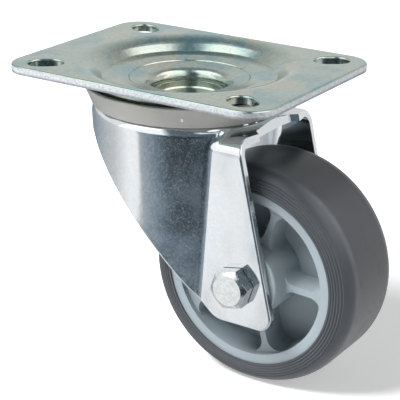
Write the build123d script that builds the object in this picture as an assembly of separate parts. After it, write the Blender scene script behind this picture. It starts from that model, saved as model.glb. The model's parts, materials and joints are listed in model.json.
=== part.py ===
"""Swivel castor with a slotted top plate and a spoked wheel.

The origin is where the swivel axis meets the top face of the plate.
+Z is up, +X is the way the wheel trails, and all sizes are in millimetres.
"""
from build123d import *
import math
import os

# Mounting plate
plate_length = 105.0
plate_width = 80.0
plate_thickness = 2.8
plate_corner_radius = 10.0
plate_edge_round = 0.8
slot_end_margin = 12.5
slot_side_margin = 10.0
slot_width = 9.0
slot_length = 12.5
slot_edge_round = 0.7

# Dish pressed into the plate, down to the ball track
dish_track_margin = 3.7
dish_depth = 4.45
dish_wall_angle = 40.0
dish_shoulder_radius = 9.6
dish_crease_radius = 0.6
slope_track_margin = 1.6
slope_angle = 10.5
bead_track_margin = 5.6
bead_drop = 0.4
bead_round = 0.35
cup_hole_clearance = 1.6
centre_cup_depth = 14.8
centre_cup_mouth_round = 3.6
centre_cup_floor_round = 0.5

# King pin
pin_radius = 8.0
pin_head_clearance = 0.1
pin_head_height = 4.4
pin_recess_margin = 1.5
pin_recess_depth = 2.4
pin_edge_chamfer = 0.5
pin_rivet_radius = 11.5
pin_rivet_height = 3.2

# Swivel bearing
upper_ball_diameter = 7.0
upper_track_margin = 7.5
lower_ball_diameter = 6.0
lower_track_margin = 6.0
ball_spacing = 0.06
running_clearance = 0.05
seating_clearance = 0.01
crown_groove_depth = 0.5
race_thickness = 2.5
race_flat_margin = 5.5
race_lip_reach = 3.7
race_lip_rise = 2.1

# Fork
sheet = 2.5
crown_top = -12.4
crown_corner_radius = 4.5
crown_hole_margin = 3.5
wall_radius = 34.5
wall_draft_angle = 2.4
platform_drop = 3.7
wheel_side_gap = 4.8
wheel_top_gap = 8.9
leg_bend_radius = 6.0
crease_radius = 4.0
platform_leg_reach = 0.7
platform_lobe_reach = 2.0
platform_notch_reach = -0.2
platform_lobe_start_inset = 4.5
platform_lobe_inset = 11.0
platform_notch_inset = 13.2
leg_foot_width = 16.0
leg_foot_drop = 14.5
leg_rear_corner_radius = 5.0
leg_front_corner_radius = 8.0
rear_edge_foot = 15.4
front_rim_height = 10.6
front_rim_reach = 10.0
front_edge_foot_reach = 17.1
front_edge_foot_drop = 6.4
front_edge_bow = 1.9
front_rim_round = 6.0
front_foot_round = 20.0
cut_edge_round = 0.7

# Dust seal
seal_flare = 3.0
seal_height = 7.4
seal_foot_drop = 0.7
seal_thickness = 1.6
seal_flange_margin = 0.6
seal_flange_thickness = 1.0
seal_foot_width = 0.6

# Axle
axle_offset = 35.3
bolt_diameter = 8.0
bolt_hole_clearance = 0.1
hexagon_across_flats = 13.0
bolt_head_height = 5.3
hexagon_chamfer_angle = 33.0
hexagon_end_share = 0.83
bolt_head_turn = 11.5
nut_height = 6.4
nut_collar_height = 1.7
nut_collar_radius = 5.9
insert_outer_radius = 5.1
bolt_end_length = 1.6
bolt_end_chamfer = 0.8
sleeve_radius = 6.0
washer_radius = 10.0
washer_thickness = 0.75

# Wheel
wheel_diameter = 80.0
tyre_width = 34.4
shoulder_radius = 7.35
tyre_thickness = 8.2
rim_key_height = 1.8
rim_key_width = 11.0
rim_face_distance = 33.0
rim_wall = 3.45
web_thickness = 8.0
spoke_face_distance = 29.0
spoke_count = 5
spoke_turn = -2.5
spoke_width = 2.3
pocket_rim_corner_share = 0.3
pocket_hub_corner_share = 0.31
pocket_draft_angle = 1.5
hub_radius = 13.8
hub_edge_round = 0.8
hub_end_clearance = 0.15
groove_count = 5
groove_spacing = 0.95
groove_width = 0.45
groove_depth = 0.3

# Roller bearing in the hub
roller_diameter = 2.5
roller_count = 12
roller_length = 28.0
cage_thickness = 1.7
cage_end_length = 3.0

# Sizes that follow from the ones above
slot_spacing_x = plate_length - 2 * slot_end_margin
slot_spacing_y = plate_width - 2 * slot_side_margin
tyre_radius = wheel_diameter / 2
leg_inner = tyre_width / 2 + wheel_side_gap
leg_outer = leg_inner + sheet
crown_underside = crown_top - sheet
platform_top = crown_top - platform_drop
axle_height = platform_top - sheet - wheel_top_gap - tyre_radius
fork_bottom = axle_height - leg_foot_drop
foot_rear = axle_offset + rear_edge_foot
leg_rear = wall_radius + platform_leg_reach
leg_rear_run = (foot_rear - leg_rear) / (platform_top - fork_bottom)
leg_bend_end = platform_top - leg_bend_radius
upper_track_radius = wall_radius - upper_track_margin
lower_track_radius = upper_track_radius - lower_track_margin
crown_hole_radius = lower_track_radius - crown_hole_margin
race_flat_radius = lower_track_radius - race_flat_margin
centre_cup_radius = crown_hole_radius - cup_hole_clearance - plate_thickness
seal_foot_radius = wall_radius
seal_top_radius = seal_foot_radius + seal_flare
seal_flange_radius = wall_radius - crown_corner_radius + seal_flange_margin
dish_radius = upper_track_radius + dish_track_margin
slope_start_radius = upper_track_radius - slope_track_margin
bead_radius = upper_track_radius - bead_track_margin
rim_seat_radius = tyre_radius - tyre_thickness
rim_inner_radius = rim_seat_radius - rim_wall
half_spoke = spoke_face_distance / 2
half_web = web_thickness / 2
pocket_depth = half_spoke - half_web
pocket_taper = pocket_depth * math.tan(math.radians(pocket_draft_angle))
web_inner_radius = hub_radius + pocket_taper
web_outer_radius = rim_inner_radius - pocket_taper
first_groove_radius = rim_seat_radius + groove_spacing
dish_underside = -dish_depth - plate_thickness
cup_underside = -centre_cup_depth - plate_thickness
pin_head_radius = centre_cup_radius - pin_head_clearance
pin_recess_radius = pin_head_radius - pin_recess_margin
pin_head_top = -centre_cup_depth + pin_head_height
race_underside = cup_underside - race_thickness
upper_ball_height = (dish_underside + crown_top) / 2
lower_ball_height = crown_underside - lower_ball_diameter / 2 + crown_groove_depth
bolt_radius = bolt_diameter / 2
bolt_hole_radius = bolt_radius + bolt_hole_clearance
hexagon_across_corners = hexagon_across_flats / math.cos(math.radians(30))
hub_length = 2 * (leg_inner - washer_thickness - hub_end_clearance)
roller_track_radius = sleeve_radius + roller_diameter / 2 + running_clearance / 2
hub_bore_radius = sleeve_radius + roller_diameter + running_clearance
os.makedirs("parts", exist_ok=True)


def write(node, solid):
    export_step(solid, f"parts/{node}.step")


def turn(outline):
    """Revolve a closed outline of (radius, height) about the vertical axis."""
    return revolve(Plane.XZ * make_face(outline), Axis.Z)


def turn_points(points):
    return turn(Polyline(*points, close=True))


def turn_sheet(points, radii, thickness):
    """Revolve a sheet whose upper face follows the points from the rim inwards."""
    upper = FilletPolyline(*points, radius=radii)
    outline = offset(upper, amount=thickness, side=Side.LEFT, closed=True)
    return turn(outline)


def ring(track_radius, height, section_radius):
    return Pos(0, 0, height) * Torus(track_radius, section_radius)


def ball_row(diameter, track_radius, height):
    pitch = 2 * math.asin((diameter + ball_spacing) / 2 / track_radius)
    count = math.floor(2 * math.pi / pitch)
    ball = Pos(0, 0, height) * Sphere(diameter / 2)
    return Compound(children=list(PolarLocations(track_radius, count) * ball))


def on_axle(solid):
    """Turn +Z towards the near leg and move the solid onto the axle line."""
    return Pos(axle_offset, 0, axle_height) * Rot(90, 0, 0) * solid


def tube(outer_radius, inner_radius, length):
    return Cylinder(outer_radius, length) - Cylinder(inner_radius, length)


def upper_edges(first, second, combined):
    """Edges that a cut leaves in the plate's upper face."""
    edges = new_edges(first, second, combined=combined)
    return edges.filter_by(lambda edge: edge.center().Z > -plate_thickness / 2)


def make_plate():
    slope = math.tan(math.radians(slope_angle))
    wall_run = dish_depth / math.tan(math.radians(dish_wall_angle))
    bead_top = -dish_depth - slope * (slope_start_radius - bead_radius)
    bead_foot_radius = bead_radius - bead_drop
    bead_foot = bead_top - bead_drop
    mouth = bead_foot - slope * (bead_foot_radius - centre_cup_radius)
    points = [
        (plate_length, 0),
        (dish_radius + wall_run, 0),
        (dish_radius, -dish_depth),
        (slope_start_radius, -dish_depth),
        (bead_radius, bead_top),
        (bead_foot_radius, bead_foot),
        (centre_cup_radius, mouth),
        (centre_cup_radius, -centre_cup_depth),
        (pin_radius, -centre_cup_depth),
    ]
    radii = [
        dish_shoulder_radius,
        dish_crease_radius,
        dish_crease_radius,
        bead_round,
        bead_round,
        centre_cup_mouth_round,
        centre_cup_floor_round,
    ]
    pressing = turn_sheet(points, radii, plate_thickness)
    outline = RectangleRounded(plate_length, plate_width, plate_corner_radius)
    blank = extrude(outline, amount=centre_cup_depth + 2 * plate_thickness, both=True)
    plate = pressing & blank
    plate = fillet(upper_edges(pressing, blank, plate), plate_edge_round)
    slot_angle = math.degrees(math.atan2(slot_spacing_y, slot_spacing_x))
    for side_x in (1, -1):
        for side_y in (1, -1):
            spot = Pos(side_x * slot_spacing_x / 2, side_y * slot_spacing_y / 2)
            slot = SlotOverall(slot_length, slot_width, rotation=side_x * side_y * slot_angle)
            slot = extrude(spot * slot, amount=2 * plate_thickness, both=True)
            cut = plate - slot
            plate = fillet(upper_edges(plate, slot, cut), slot_edge_round)
    track = ring(
        upper_track_radius, upper_ball_height, upper_ball_diameter / 2 + seating_clearance
    )
    return plate - track


def make_pin():
    recess_floor = pin_head_top - pin_recess_depth
    points = [
        (0, recess_floor),
        (pin_recess_radius - pin_edge_chamfer, recess_floor),
        (pin_recess_radius, recess_floor + pin_edge_chamfer),
        (pin_recess_radius, pin_head_top),
        (pin_head_radius - pin_edge_chamfer, pin_head_top),
        (pin_head_radius, pin_head_top - pin_edge_chamfer),
        (pin_head_radius, -centre_cup_depth + 2 * pin_edge_chamfer),
        (pin_head_radius - 2 * pin_edge_chamfer, -centre_cup_depth),
        (pin_radius, -centre_cup_depth),
        (pin_radius, race_underside),
        (pin_rivet_radius, race_underside),
        (pin_rivet_radius, race_underside - pin_rivet_height / 3),
        (pin_radius, race_underside - pin_rivet_height),
        (0, race_underside - pin_rivet_height),
    ]
    return turn_points(points)


def make_race():
    lip_radius = lower_track_radius + race_lip_reach
    groove_bottom = lower_ball_height - lower_ball_diameter / 2
    points = [
        (lip_radius, groove_bottom + race_lip_rise),
        (lower_track_radius, groove_bottom),
        (race_flat_radius, cup_underside),
        (pin_radius, cup_underside),
    ]
    section = lower_ball_diameter / 2 + seating_clearance
    race = turn_sheet(points, [section, race_thickness], race_thickness)
    return race - ring(lower_track_radius, lower_ball_height, section)


def bell(inset):
    """Closed drum that tapers a little towards its open end."""
    top = crown_top - inset
    radius = wall_radius - inset
    depth = top - fork_bottom + sheet
    foot_radius = radius - depth * math.tan(math.radians(wall_draft_angle))
    points = [(0, top), (radius, top), (foot_radius, top - depth), (0, top - depth)]
    outline = make_face(Polyline(*points, close=True))
    corner = outline.vertices().sort_by_distance((radius, top, 0))[0]
    return revolve(Plane.XZ * fillet(corner, crown_corner_radius - inset), Axis.Z)


def leg_block(inset):
    """Long block with its two upper edges rounded, from the swivel axis rearwards."""
    top = platform_top - inset
    block = Box(
        2 * wall_radius,
        2 * (leg_outer - inset),
        top - fork_bottom + sheet,
        align=(Align.MIN, Align.CENTER, Align.MAX),
    )
    block = Pos(0, 0, top) * block
    bend_edges = block.faces().sort_by(Axis.Z)[-1].edges().filter_by(Axis.X)
    return fillet(bend_edges, leg_bend_radius - inset)


def drawn_form(inset):
    """Bell and leg block in one, with the creases between them rounded.

    The inset is zero for the outer skin and one sheet for the inner skin.
    """
    drum = bell(inset)
    block = leg_block(inset)
    joined = drum + block
    creases = new_edges(drum, block, combined=joined)
    creases = creases.filter_by(lambda edge: edge.center().X > 0)
    creases = creases.filter_by(lambda edge: edge.center().Z > fork_bottom - sheet + inset)
    return fillet(creases, crease_radius + inset)


def fork_side_view():
    """Outline of the fork seen from the side, as (x, z), with its upper rear left over."""
    foot_front = axle_offset - leg_foot_width / 2
    front_foot = (axle_offset - front_edge_foot_reach, axle_height - front_edge_foot_drop)
    rim = crown_top - front_rim_height
    rim_start = front_rim_reach - wall_radius
    chord_x = front_foot[0] - rim_start
    chord_z = front_foot[1] - rim
    chord = math.hypot(chord_x, chord_z)
    middle = (
        (front_foot[0] + rim_start) / 2 - chord_z / chord * front_edge_bow,
        (front_foot[1] + rim) / 2 + chord_x / chord * front_edge_bow,
    )
    front = ThreePointArc(front_foot, middle, (rim_start, rim))
    rest = Polyline(
        (rim_start, rim),
        (-2 * wall_radius, rim),
        (-2 * wall_radius, 0),
        (foot_rear, 0),
        (foot_rear, leg_bend_end),
        (leg_rear + leg_rear_run * leg_bend_radius, leg_bend_end),
        (foot_rear, fork_bottom),
        (foot_front, fork_bottom),
        front_foot,
    )
    face = make_face(front + rest)
    corners = {
        (foot_rear, fork_bottom, 0): leg_rear_corner_radius,
        (foot_front, fork_bottom, 0): leg_front_corner_radius,
        (*front_foot, 0): front_foot_round,
        (rim_start, rim, 0): front_rim_round,
    }
    for place, radius in corners.items():
        face = fillet(face.vertices().sort_by_distance(place)[0], radius)
    return Plane.XZ * face


def fork_rear_cut():
    """Slanted block behind the leg bends and the two lobes of the platform's rear edge."""
    lobe_rear = wall_radius + platform_lobe_reach
    notch_rear = wall_radius + platform_notch_reach
    rise = crown_top - platform_top
    near_side = [
        (4 * wall_radius, -2 * leg_outer),
        (leg_rear, -2 * leg_outer),
        (leg_rear, platform_lobe_start_inset - leg_outer),
        (lobe_rear, platform_lobe_inset - leg_outer),
        (notch_rear, platform_notch_inset - leg_outer),
    ]
    far_side = [(x, -y) for x, y in reversed(near_side)]
    outline = make_face(Polyline(*near_side, *far_side, close=True))
    start = Pos(-leg_rear_run * rise, 0, crown_top) * outline
    length = (crown_top - leg_bend_end) * math.hypot(leg_rear_run, 1)
    return extrude(start, amount=length, dir=(leg_rear_run, 0, -1))


def make_fork():
    form = drawn_form(0)
    trim = extrude(fork_side_view(), amount=wall_radius + sheet, both=True) - fork_rear_cut()
    fork = form & trim
    cut_edges = new_edges(form, trim, combined=fork)
    lower_edges = cut_edges.filter_by(lambda edge: edge.center().Z < leg_bend_end)
    fork = fillet(lower_edges, cut_edge_round)
    fork -= drawn_form(sheet)
    fork -= Pos(0, 0, crown_top) * Cylinder(crown_hole_radius, 4 * sheet)
    fork -= on_axle(Cylinder(bolt_hole_radius, 2 * leg_outer + sheet))
    upper_section = upper_ball_diameter / 2 + running_clearance
    lower_section = lower_ball_diameter / 2 + running_clearance
    fork -= ring(upper_track_radius, upper_ball_height, upper_section)
    fork -= ring(lower_track_radius, lower_ball_height, lower_section)
    return fork


def make_seal():
    foot = crown_top - seal_foot_drop
    shelf = crown_top + seal_flange_thickness
    points = [
        (seal_top_radius, foot + seal_height),
        (seal_top_radius - seal_thickness, foot + seal_height),
        (seal_foot_radius - seal_thickness, shelf),
        (seal_flange_radius, shelf),
        (seal_flange_radius, crown_top - sheet),
        (seal_foot_radius - seal_foot_width, crown_top - sheet),
        (seal_foot_radius - seal_foot_width, foot),
        (seal_foot_radius, foot),
    ]
    return turn_points(points) - drawn_form(0)


def hexagon_prism(height, chamfered_end=1):
    """Hexagon with the corners of one end turned off to a cone."""
    hexagon = RegularPolygon(hexagon_across_corners / 2, 6)
    prism = extrude(hexagon, amount=height)
    end_radius = hexagon_across_flats / 2 * hexagon_end_share
    corner_run = hexagon_across_corners / 2 - end_radius
    drop = corner_run * math.tan(math.radians(hexagon_chamfer_angle))
    cone = turn_points([
        (0, 0),
        (hexagon_across_corners / 2, 0),
        (hexagon_across_corners / 2, height - drop),
        (end_radius, height),
        (0, height),
    ])
    return prism & cone


def make_bolt():
    tip = leg_outer + nut_height + nut_collar_height + bolt_end_length
    head = Pos(0, 0, leg_outer) * Rot(0, 0, bolt_head_turn) * hexagon_prism(bolt_head_height)
    shank = Pos(0, 0, leg_outer) * Cylinder(
        bolt_radius, leg_outer + tip, align=(Align.CENTER, Align.CENTER, Align.MAX)
    )
    shank = chamfer(shank.edges().sort_by(Axis.Z)[0], bolt_end_chamfer)
    return on_axle(head + shank)


def make_nut():
    collar = Pos(0, 0, nut_height) * Cylinder(
        nut_collar_radius, nut_collar_height, align=(Align.CENTER, Align.CENTER, Align.MIN)
    )
    nut = hexagon_prism(nut_height) + collar
    nut -= Cylinder(bolt_radius + seating_clearance, 4 * nut_height)
    pocket = Pos(0, 0, nut_height - nut_collar_height / 2) * Cylinder(
        insert_outer_radius, 2 * nut_collar_height, align=(Align.CENTER, Align.CENTER, Align.MIN)
    )
    return on_axle(Rot(180, 0, 0) * Pos(0, 0, leg_outer) * (nut - pocket))


def make_nut_insert():
    insert = tube(insert_outer_radius, bolt_radius + seating_clearance, nut_collar_height)
    height = leg_outer + nut_height
    return on_axle(Pos(0, 0, -height) * insert)


def make_washer(side):
    washer = tube(washer_radius, sleeve_radius + bolt_hole_clearance, washer_thickness)
    return on_axle(Pos(0, 0, side * (leg_inner - washer_thickness / 2)) * washer)


def pocket_area():
    """Open areas between the spokes, wide at the rim and rounded in every corner."""
    ring_area = Circle(rim_inner_radius) - Circle(hub_radius)
    spoke = Pos(tyre_radius / 2, 0) * Rectangle(tyre_radius, spoke_width)
    spokes = Rot(0, 0, spoke_turn) * PolarLocations(0, spoke_count) * spoke
    pockets = ring_area - spokes
    corners = pockets.vertices()
    reach = rim_inner_radius - hub_radius
    middle = hub_radius + reach / 2
    outer = corners.filter_by(lambda corner: math.hypot(corner.X, corner.Y) > middle)
    pockets = fillet(outer, pocket_rim_corner_share * reach)
    corners = pockets.vertices()
    hub_zone = hub_radius + reach / 4
    inner = corners.filter_by(lambda corner: math.hypot(corner.X, corner.Y) < hub_zone)
    return fillet(inner, pocket_hub_corner_share * reach)


def make_hub():
    """Straight hub, a little thicker between the spoke faces, where the pockets taper."""
    points = [
        (hub_bore_radius, 0),
        (hub_bore_radius, hub_length / 2),
        (hub_radius, hub_length / 2),
        (hub_radius, half_spoke),
        (web_inner_radius, half_web),
        (web_inner_radius, 0),
    ]
    half = turn_points(points)
    end_edge = half.edges().filter_by(GeomType.CIRCLE).sort_by(Axis.Z)[-2:]
    half = fillet(end_edge.sort_by(SortBy.RADIUS)[-1], hub_edge_round)
    return on_axle(half + mirror(half, Plane.XY))


def make_rim():
    """Rim with a key round its middle that holds the tyre."""
    half_rim = rim_face_distance / 2
    points = [
        (web_outer_radius, 0),
        (web_outer_radius, half_web),
        (rim_inner_radius, half_spoke),
        (rim_inner_radius, half_rim),
        (rim_seat_radius, half_rim),
        (rim_seat_radius, rim_key_width / 2),
        (rim_seat_radius + rim_key_height, rim_key_width / 2 - rim_key_height / 2),
        (rim_seat_radius + rim_key_height, 0),
    ]
    half = turn_points(points)
    return on_axle(half + mirror(half, Plane.XY))


def make_web():
    return on_axle(tube(web_outer_radius, web_inner_radius, web_thickness))


def make_spokes():
    """Spokes on both sides of the web, left between the tapered pockets."""
    points = [
        (web_inner_radius, half_web),
        (hub_radius, half_spoke),
        (rim_inner_radius, half_spoke),
        (web_outer_radius, half_web),
    ]
    pockets = Pos(0, 0, half_spoke) * pocket_area()
    cut = extrude(pockets, amount=pocket_depth, dir=(0, 0, -1), taper=pocket_draft_angle)
    spokes = (turn_points(points) - cut).solids()
    far_side = [mirror(spoke, Plane.XY) for spoke in spokes]
    return Compound(children=[on_axle(spoke) for spoke in (*spokes, *far_side)])


def make_tyre():
    half_width = tyre_width / 2
    half_tread = half_width - shoulder_radius
    shoulder_start = tyre_radius - shoulder_radius
    side = Line((rim_seat_radius, half_width), (shoulder_start, half_width))
    diagonal = shoulder_radius * math.cos(math.radians(45))
    shoulder_middle = (shoulder_start + diagonal, half_tread + diagonal)
    shoulder = ThreePointArc(
        (shoulder_start, half_width), shoulder_middle, (tyre_radius, half_tread)
    )
    rest = Polyline(
        (tyre_radius, half_tread),
        (tyre_radius, 0),
        (rim_seat_radius + rim_key_height, 0),
        (rim_seat_radius + rim_key_height, rim_key_width / 2 - rim_key_height / 2),
        (rim_seat_radius, rim_key_width / 2),
        (rim_seat_radius, half_width),
    )
    half = turn(side + shoulder + rest)
    for row in range(groove_count):
        half -= side_groove(first_groove_radius + row * groove_spacing)
    return on_axle(half + mirror(half, Plane.XY))


def side_groove(radius):
    """Fine V groove round the side of the tyre, square to its rounded shoulder."""
    half_tread = tyre_width / 2 - shoulder_radius
    shoulder_start = tyre_radius - shoulder_radius
    angle = math.asin(max(0, radius - shoulder_start) / shoulder_radius)
    middle = (radius, half_tread + shoulder_radius * math.cos(angle))

    def point(along, depth):
        x = middle[0] + math.cos(angle) * along - math.sin(angle) * depth
        y = middle[1] - math.sin(angle) * along - math.cos(angle) * depth
        return (x, y)

    tip = point(0, groove_depth)
    inner_mouth = point(-groove_width, -groove_depth)
    outer_mouth = point(groove_width, -groove_depth)
    return turn_points([tip, inner_mouth, outer_mouth])


def make_sleeve():
    return on_axle(tube(sleeve_radius, bolt_radius + running_clearance, 2 * leg_inner))


def roller_positions():
    return PolarLocations(roller_track_radius, roller_count)


def make_rollers():
    rollers = roller_positions() * Cylinder(roller_diameter / 2, roller_length)
    return Compound(children=[on_axle(roller) for roller in rollers])


def make_cage():
    middle = roller_track_radius
    length = roller_length + 2 * cage_end_length
    cage = tube(middle + cage_thickness / 2, middle - cage_thickness / 2, length)
    width = roller_diameter + 2 * running_clearance
    window = Box(2 * roller_diameter, width, roller_length + 2 * running_clearance)
    for place in roller_positions():
        cage -= place * window
    return on_axle(cage)


if __name__ == "__main__":
    write("mounting_plate", make_plate())
    write("king_pin", make_pin())
    write("lower_race_cup", make_race())
    write("upper_balls", ball_row(upper_ball_diameter, upper_track_radius, upper_ball_height))
    write("lower_balls", ball_row(lower_ball_diameter, lower_track_radius, lower_ball_height))
    write("swivel_fork", make_fork())
    write("dust_seal", make_seal())
    write("axle_bolt", make_bolt())
    write("lock_nut", make_nut())
    write("nut_insert", make_nut_insert())
    write("axle_sleeve", make_sleeve())
    write("near_thrust_washer", make_washer(1))
    write("far_thrust_washer", make_washer(-1))
    write("wheel_hub", make_hub())
    write("wheel_web", make_web())
    write("wheel_spokes", make_spokes())
    write("wheel_rim", make_rim())
    write("tyre", make_tyre())
    write("roller_cage", make_cage())
    write("bearing_rollers", make_rollers())
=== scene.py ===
"""Swivel castor: finishes, seal, tyre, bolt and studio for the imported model.

Everything is in metres. The swivel axis meets the plate's top face at the origin,
+Z is up and +X is the way the wheel trails.
"""
import json
import math

import bpy
import numpy as np
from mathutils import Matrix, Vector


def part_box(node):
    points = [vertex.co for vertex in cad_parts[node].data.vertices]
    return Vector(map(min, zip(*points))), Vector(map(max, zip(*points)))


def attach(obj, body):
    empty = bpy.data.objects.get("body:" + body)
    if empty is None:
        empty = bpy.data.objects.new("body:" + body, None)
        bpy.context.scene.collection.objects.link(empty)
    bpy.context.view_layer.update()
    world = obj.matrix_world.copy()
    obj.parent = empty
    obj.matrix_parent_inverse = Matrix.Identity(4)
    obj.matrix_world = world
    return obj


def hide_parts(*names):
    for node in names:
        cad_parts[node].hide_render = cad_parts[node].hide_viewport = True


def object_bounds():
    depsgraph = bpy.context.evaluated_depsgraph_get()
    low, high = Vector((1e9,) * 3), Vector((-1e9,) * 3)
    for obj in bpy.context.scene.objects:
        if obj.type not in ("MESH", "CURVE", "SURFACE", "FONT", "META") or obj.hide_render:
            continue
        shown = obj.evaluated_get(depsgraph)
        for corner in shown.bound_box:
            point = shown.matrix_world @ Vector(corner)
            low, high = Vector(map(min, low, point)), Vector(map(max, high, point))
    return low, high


bl_info = {
    "name": "Swivel castor",
    "version": (1, 0, 0),
    "blender": (4, 5, 0),
    "location": "View3D > Sidebar > Castor",
    "description": "Finishes a swivel castor and sets it in a small studio",
    "category": "Object",
}

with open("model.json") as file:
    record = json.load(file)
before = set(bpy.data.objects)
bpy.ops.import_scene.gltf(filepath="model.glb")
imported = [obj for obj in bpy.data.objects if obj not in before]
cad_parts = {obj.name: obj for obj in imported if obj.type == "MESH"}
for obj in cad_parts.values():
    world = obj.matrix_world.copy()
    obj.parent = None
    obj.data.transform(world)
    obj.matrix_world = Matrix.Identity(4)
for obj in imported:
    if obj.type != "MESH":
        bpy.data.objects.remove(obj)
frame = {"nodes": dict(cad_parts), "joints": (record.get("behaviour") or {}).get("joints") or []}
NODES = frame["nodes"]
JOINTS = {joint["name"]: joint for joint in frame["joints"]}
CAD_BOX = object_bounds()
AXLE = np.array(JOINTS["wheel_spin"]["pos_m"])
MM = 0.001


# ---------------------------------------------------------------- node helpers


def add_node(tree, kind, inputs=None, **settings):
    """A node with its settings, and its inputs by name or number, as values or sockets."""
    node = tree.nodes.new(kind)
    for name, value in settings.items():
        setattr(node, name, value)
    for key, value in (inputs or {}).items():
        socket = node.inputs[key]
        if isinstance(value, bpy.types.NodeSocket):
            tree.links.new(value, socket)
        else:
            socket.default_value = value
    return node


def math_node(tree, operation, first, second=0.0):
    """The result of a Math node on two values or sockets."""
    node = add_node(tree, "ShaderNodeMath", {0: first, 1: second}, operation=operation)
    return node.outputs[0]


def map_range(tree, value, low, high, to_low=0.0, to_high=1.0, easing="LINEAR"):
    """Maps low to high onto to_low to to_high, and keeps to those ends outside them."""
    inputs = {
        "Value": value,
        "From Min": low,
        "From Max": high,
        "To Min": to_low,
        "To Max": to_high,
    }
    node = add_node(tree, "ShaderNodeMapRange", inputs, interpolation_type=easing)
    return node.outputs["Result"]


def smooth_step(tree, value, low, high, to_low=0.0, to_high=1.0):
    """Eased step of a value from low, where it gives to_low, to high, where it gives to_high."""
    return map_range(tree, value, low, high, to_low, to_high, "SMOOTHSTEP")


def mix_colours(tree, factor, first, second, blend="MIX"):
    """Two colours mixed by a factor. The node's colour sockets are numbers 6 and 7."""
    inputs = {0: factor, 6: first, 7: second}
    node = add_node(tree, "ShaderNodeMix", data_type="RGBA", blend_type=blend)
    for number, value in inputs.items():
        socket = node.inputs[number]
        if isinstance(value, bpy.types.NodeSocket):
            tree.links.new(value, socket)
        else:
            socket.default_value = value
    return node.outputs[2]


def noise(tree, vector, scale, detail=2.0, roughness=0.5):
    """Noise between zero and one, with its scale in repeats a metre."""
    inputs = {"Vector": vector, "Scale": scale, "Detail": detail, "Roughness": roughness}
    return add_node(tree, "ShaderNodeTexNoise", inputs).outputs["Fac"]


def colour(red, green, blue):
    """An opaque colour."""
    return (red, green, blue, 1.0)


def new_material(name):
    """A material with its node tree and its Principled shader."""
    material = bpy.data.materials.new(name)
    material.use_nodes = True
    tree = material.node_tree
    return material, tree, tree.nodes["Principled BSDF"]


def new_group(name, inputs, outputs):
    """A shader node group. Inputs and outputs are (name, socket kind, default) and (name, kind)."""
    group = bpy.data.node_groups.new(name, "ShaderNodeTree")
    for label, kind, default in inputs:
        socket = group.interface.new_socket(label, in_out="INPUT", socket_type=kind)
        socket.default_value = default
    for label, kind in outputs:
        group.interface.new_socket(label, in_out="OUTPUT", socket_type=kind)
    return group, group.nodes.new("NodeGroupInput"), group.nodes.new("NodeGroupOutput")


def place_group(tree, group, **values):
    """The group in a material, with its inputs given by name, spaces as underscores."""
    node = tree.nodes.new("ShaderNodeGroup")
    node.node_tree = group
    for name, value in values.items():
        node.inputs[name.replace("_", " ")].default_value = value
    return node


def paint(material, *names):
    """Gives the material to CAD nodes, in place of what they have."""
    for name in names:
        slots = NODES[name].data.materials
        slots.clear()
        slots.append(material)


# ---------------------------------------------------------------- node groups

# The zinc's patterns, in repeats a metre, from broad patches down to grain.
WARM_PATCH_SCALE = 38.0
COOL_PATCH_SCALE = 52.0
WAVE_SCALE = 55.0
CLOUD_SCALE = 620.0
TORN_SCALE = 1100.0
GRAIN_SCALE = 1500.0
# Sets the cool patches apart from the warm ones, in metres.
PATCH_SHIFT = (0.3, 0.1, 0.2)
# Shares of the half size at which the cut outline starts and is whole.
OUTLINE_REACH = (0.925, 0.942)
TORN_DARK = (0.52, 0.54, 0.58, 1.0)
TORN_PALE = (0.68, 0.71, 0.74, 1.0)
# The least scatter on the cut outline, and what the outline adds to the roughness.
CUT_SCATTER = 0.35
CUT_ROUGHNESS = 0.25
# The most that the cloudy pattern adds to the roughness.
CLOUD_ROUGHNESS = 0.12
# Height of the grain, against a wave of one.
GRAIN_HEIGHT = 0.012

# The moulded skin's slow colour drift and its scuffs, in repeats a metre.
DRIFT_SCALE = 60.0
SCUFF_SCALE = 180.0
MOULDED_RELIEF = 0.05 * MM
# The painted highlight bands on the tyre's shoulders break up at this scale, in repeats a metre.
HIGHLIGHT_BREAKUP_SCALE = 70.0


def tinted_patches(group, place, given):
    """Base colour with broad patches that drift to a warm and to a cool tint."""
    shifted = add_node(
        group, "ShaderNodeVectorMath", {0: place, 1: PATCH_SHIFT}, operation="ADD"
    ).outputs[0]
    first = noise(group, place, WARM_PATCH_SCALE, 4.0, 0.6)
    second = noise(group, shifted, COOL_PATCH_SCALE, 4.0, 0.65)
    amount = given["Tint amount"]
    warm = math_node(group, "MULTIPLY", smooth_step(group, first, 0.5, 0.64), amount)
    cool = math_node(group, "MULTIPLY", smooth_step(group, second, 0.5, 0.38), amount)
    tinted = mix_colours(group, warm, given["Base"], given["Warm tint"])
    return mix_colours(group, cool, tinted, given["Cool tint"])


def speckle(group, grain, cloud, amount):
    """Factor around one that darkens and lightens by the amount."""
    fine = math_node(group, "MULTIPLY", grain, 0.55)
    coarse = math_node(group, "MULTIPLY", cloud, 0.45)
    specks = math_node(group, "ADD", fine, coarse)
    swing = smooth_step(group, specks, 0.38, 0.62, -1.0, 1.0)
    return math_node(group, "ADD", math_node(group, "MULTIPLY", swing, amount), 1.0)


def share_of_half_size(group, place, half_size):
    """How far out a place is along each axis, as a share of the piece's half size."""
    share = add_node(group, "ShaderNodeVectorMath", {0: place, 1: half_size}, operation="DIVIDE")
    share = add_node(group, "ShaderNodeVectorMath", {0: share.outputs[0]}, operation="ABSOLUTE")
    return add_node(group, "ShaderNodeSeparateXYZ", {"Vector": share.outputs[0]}).outputs


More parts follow.
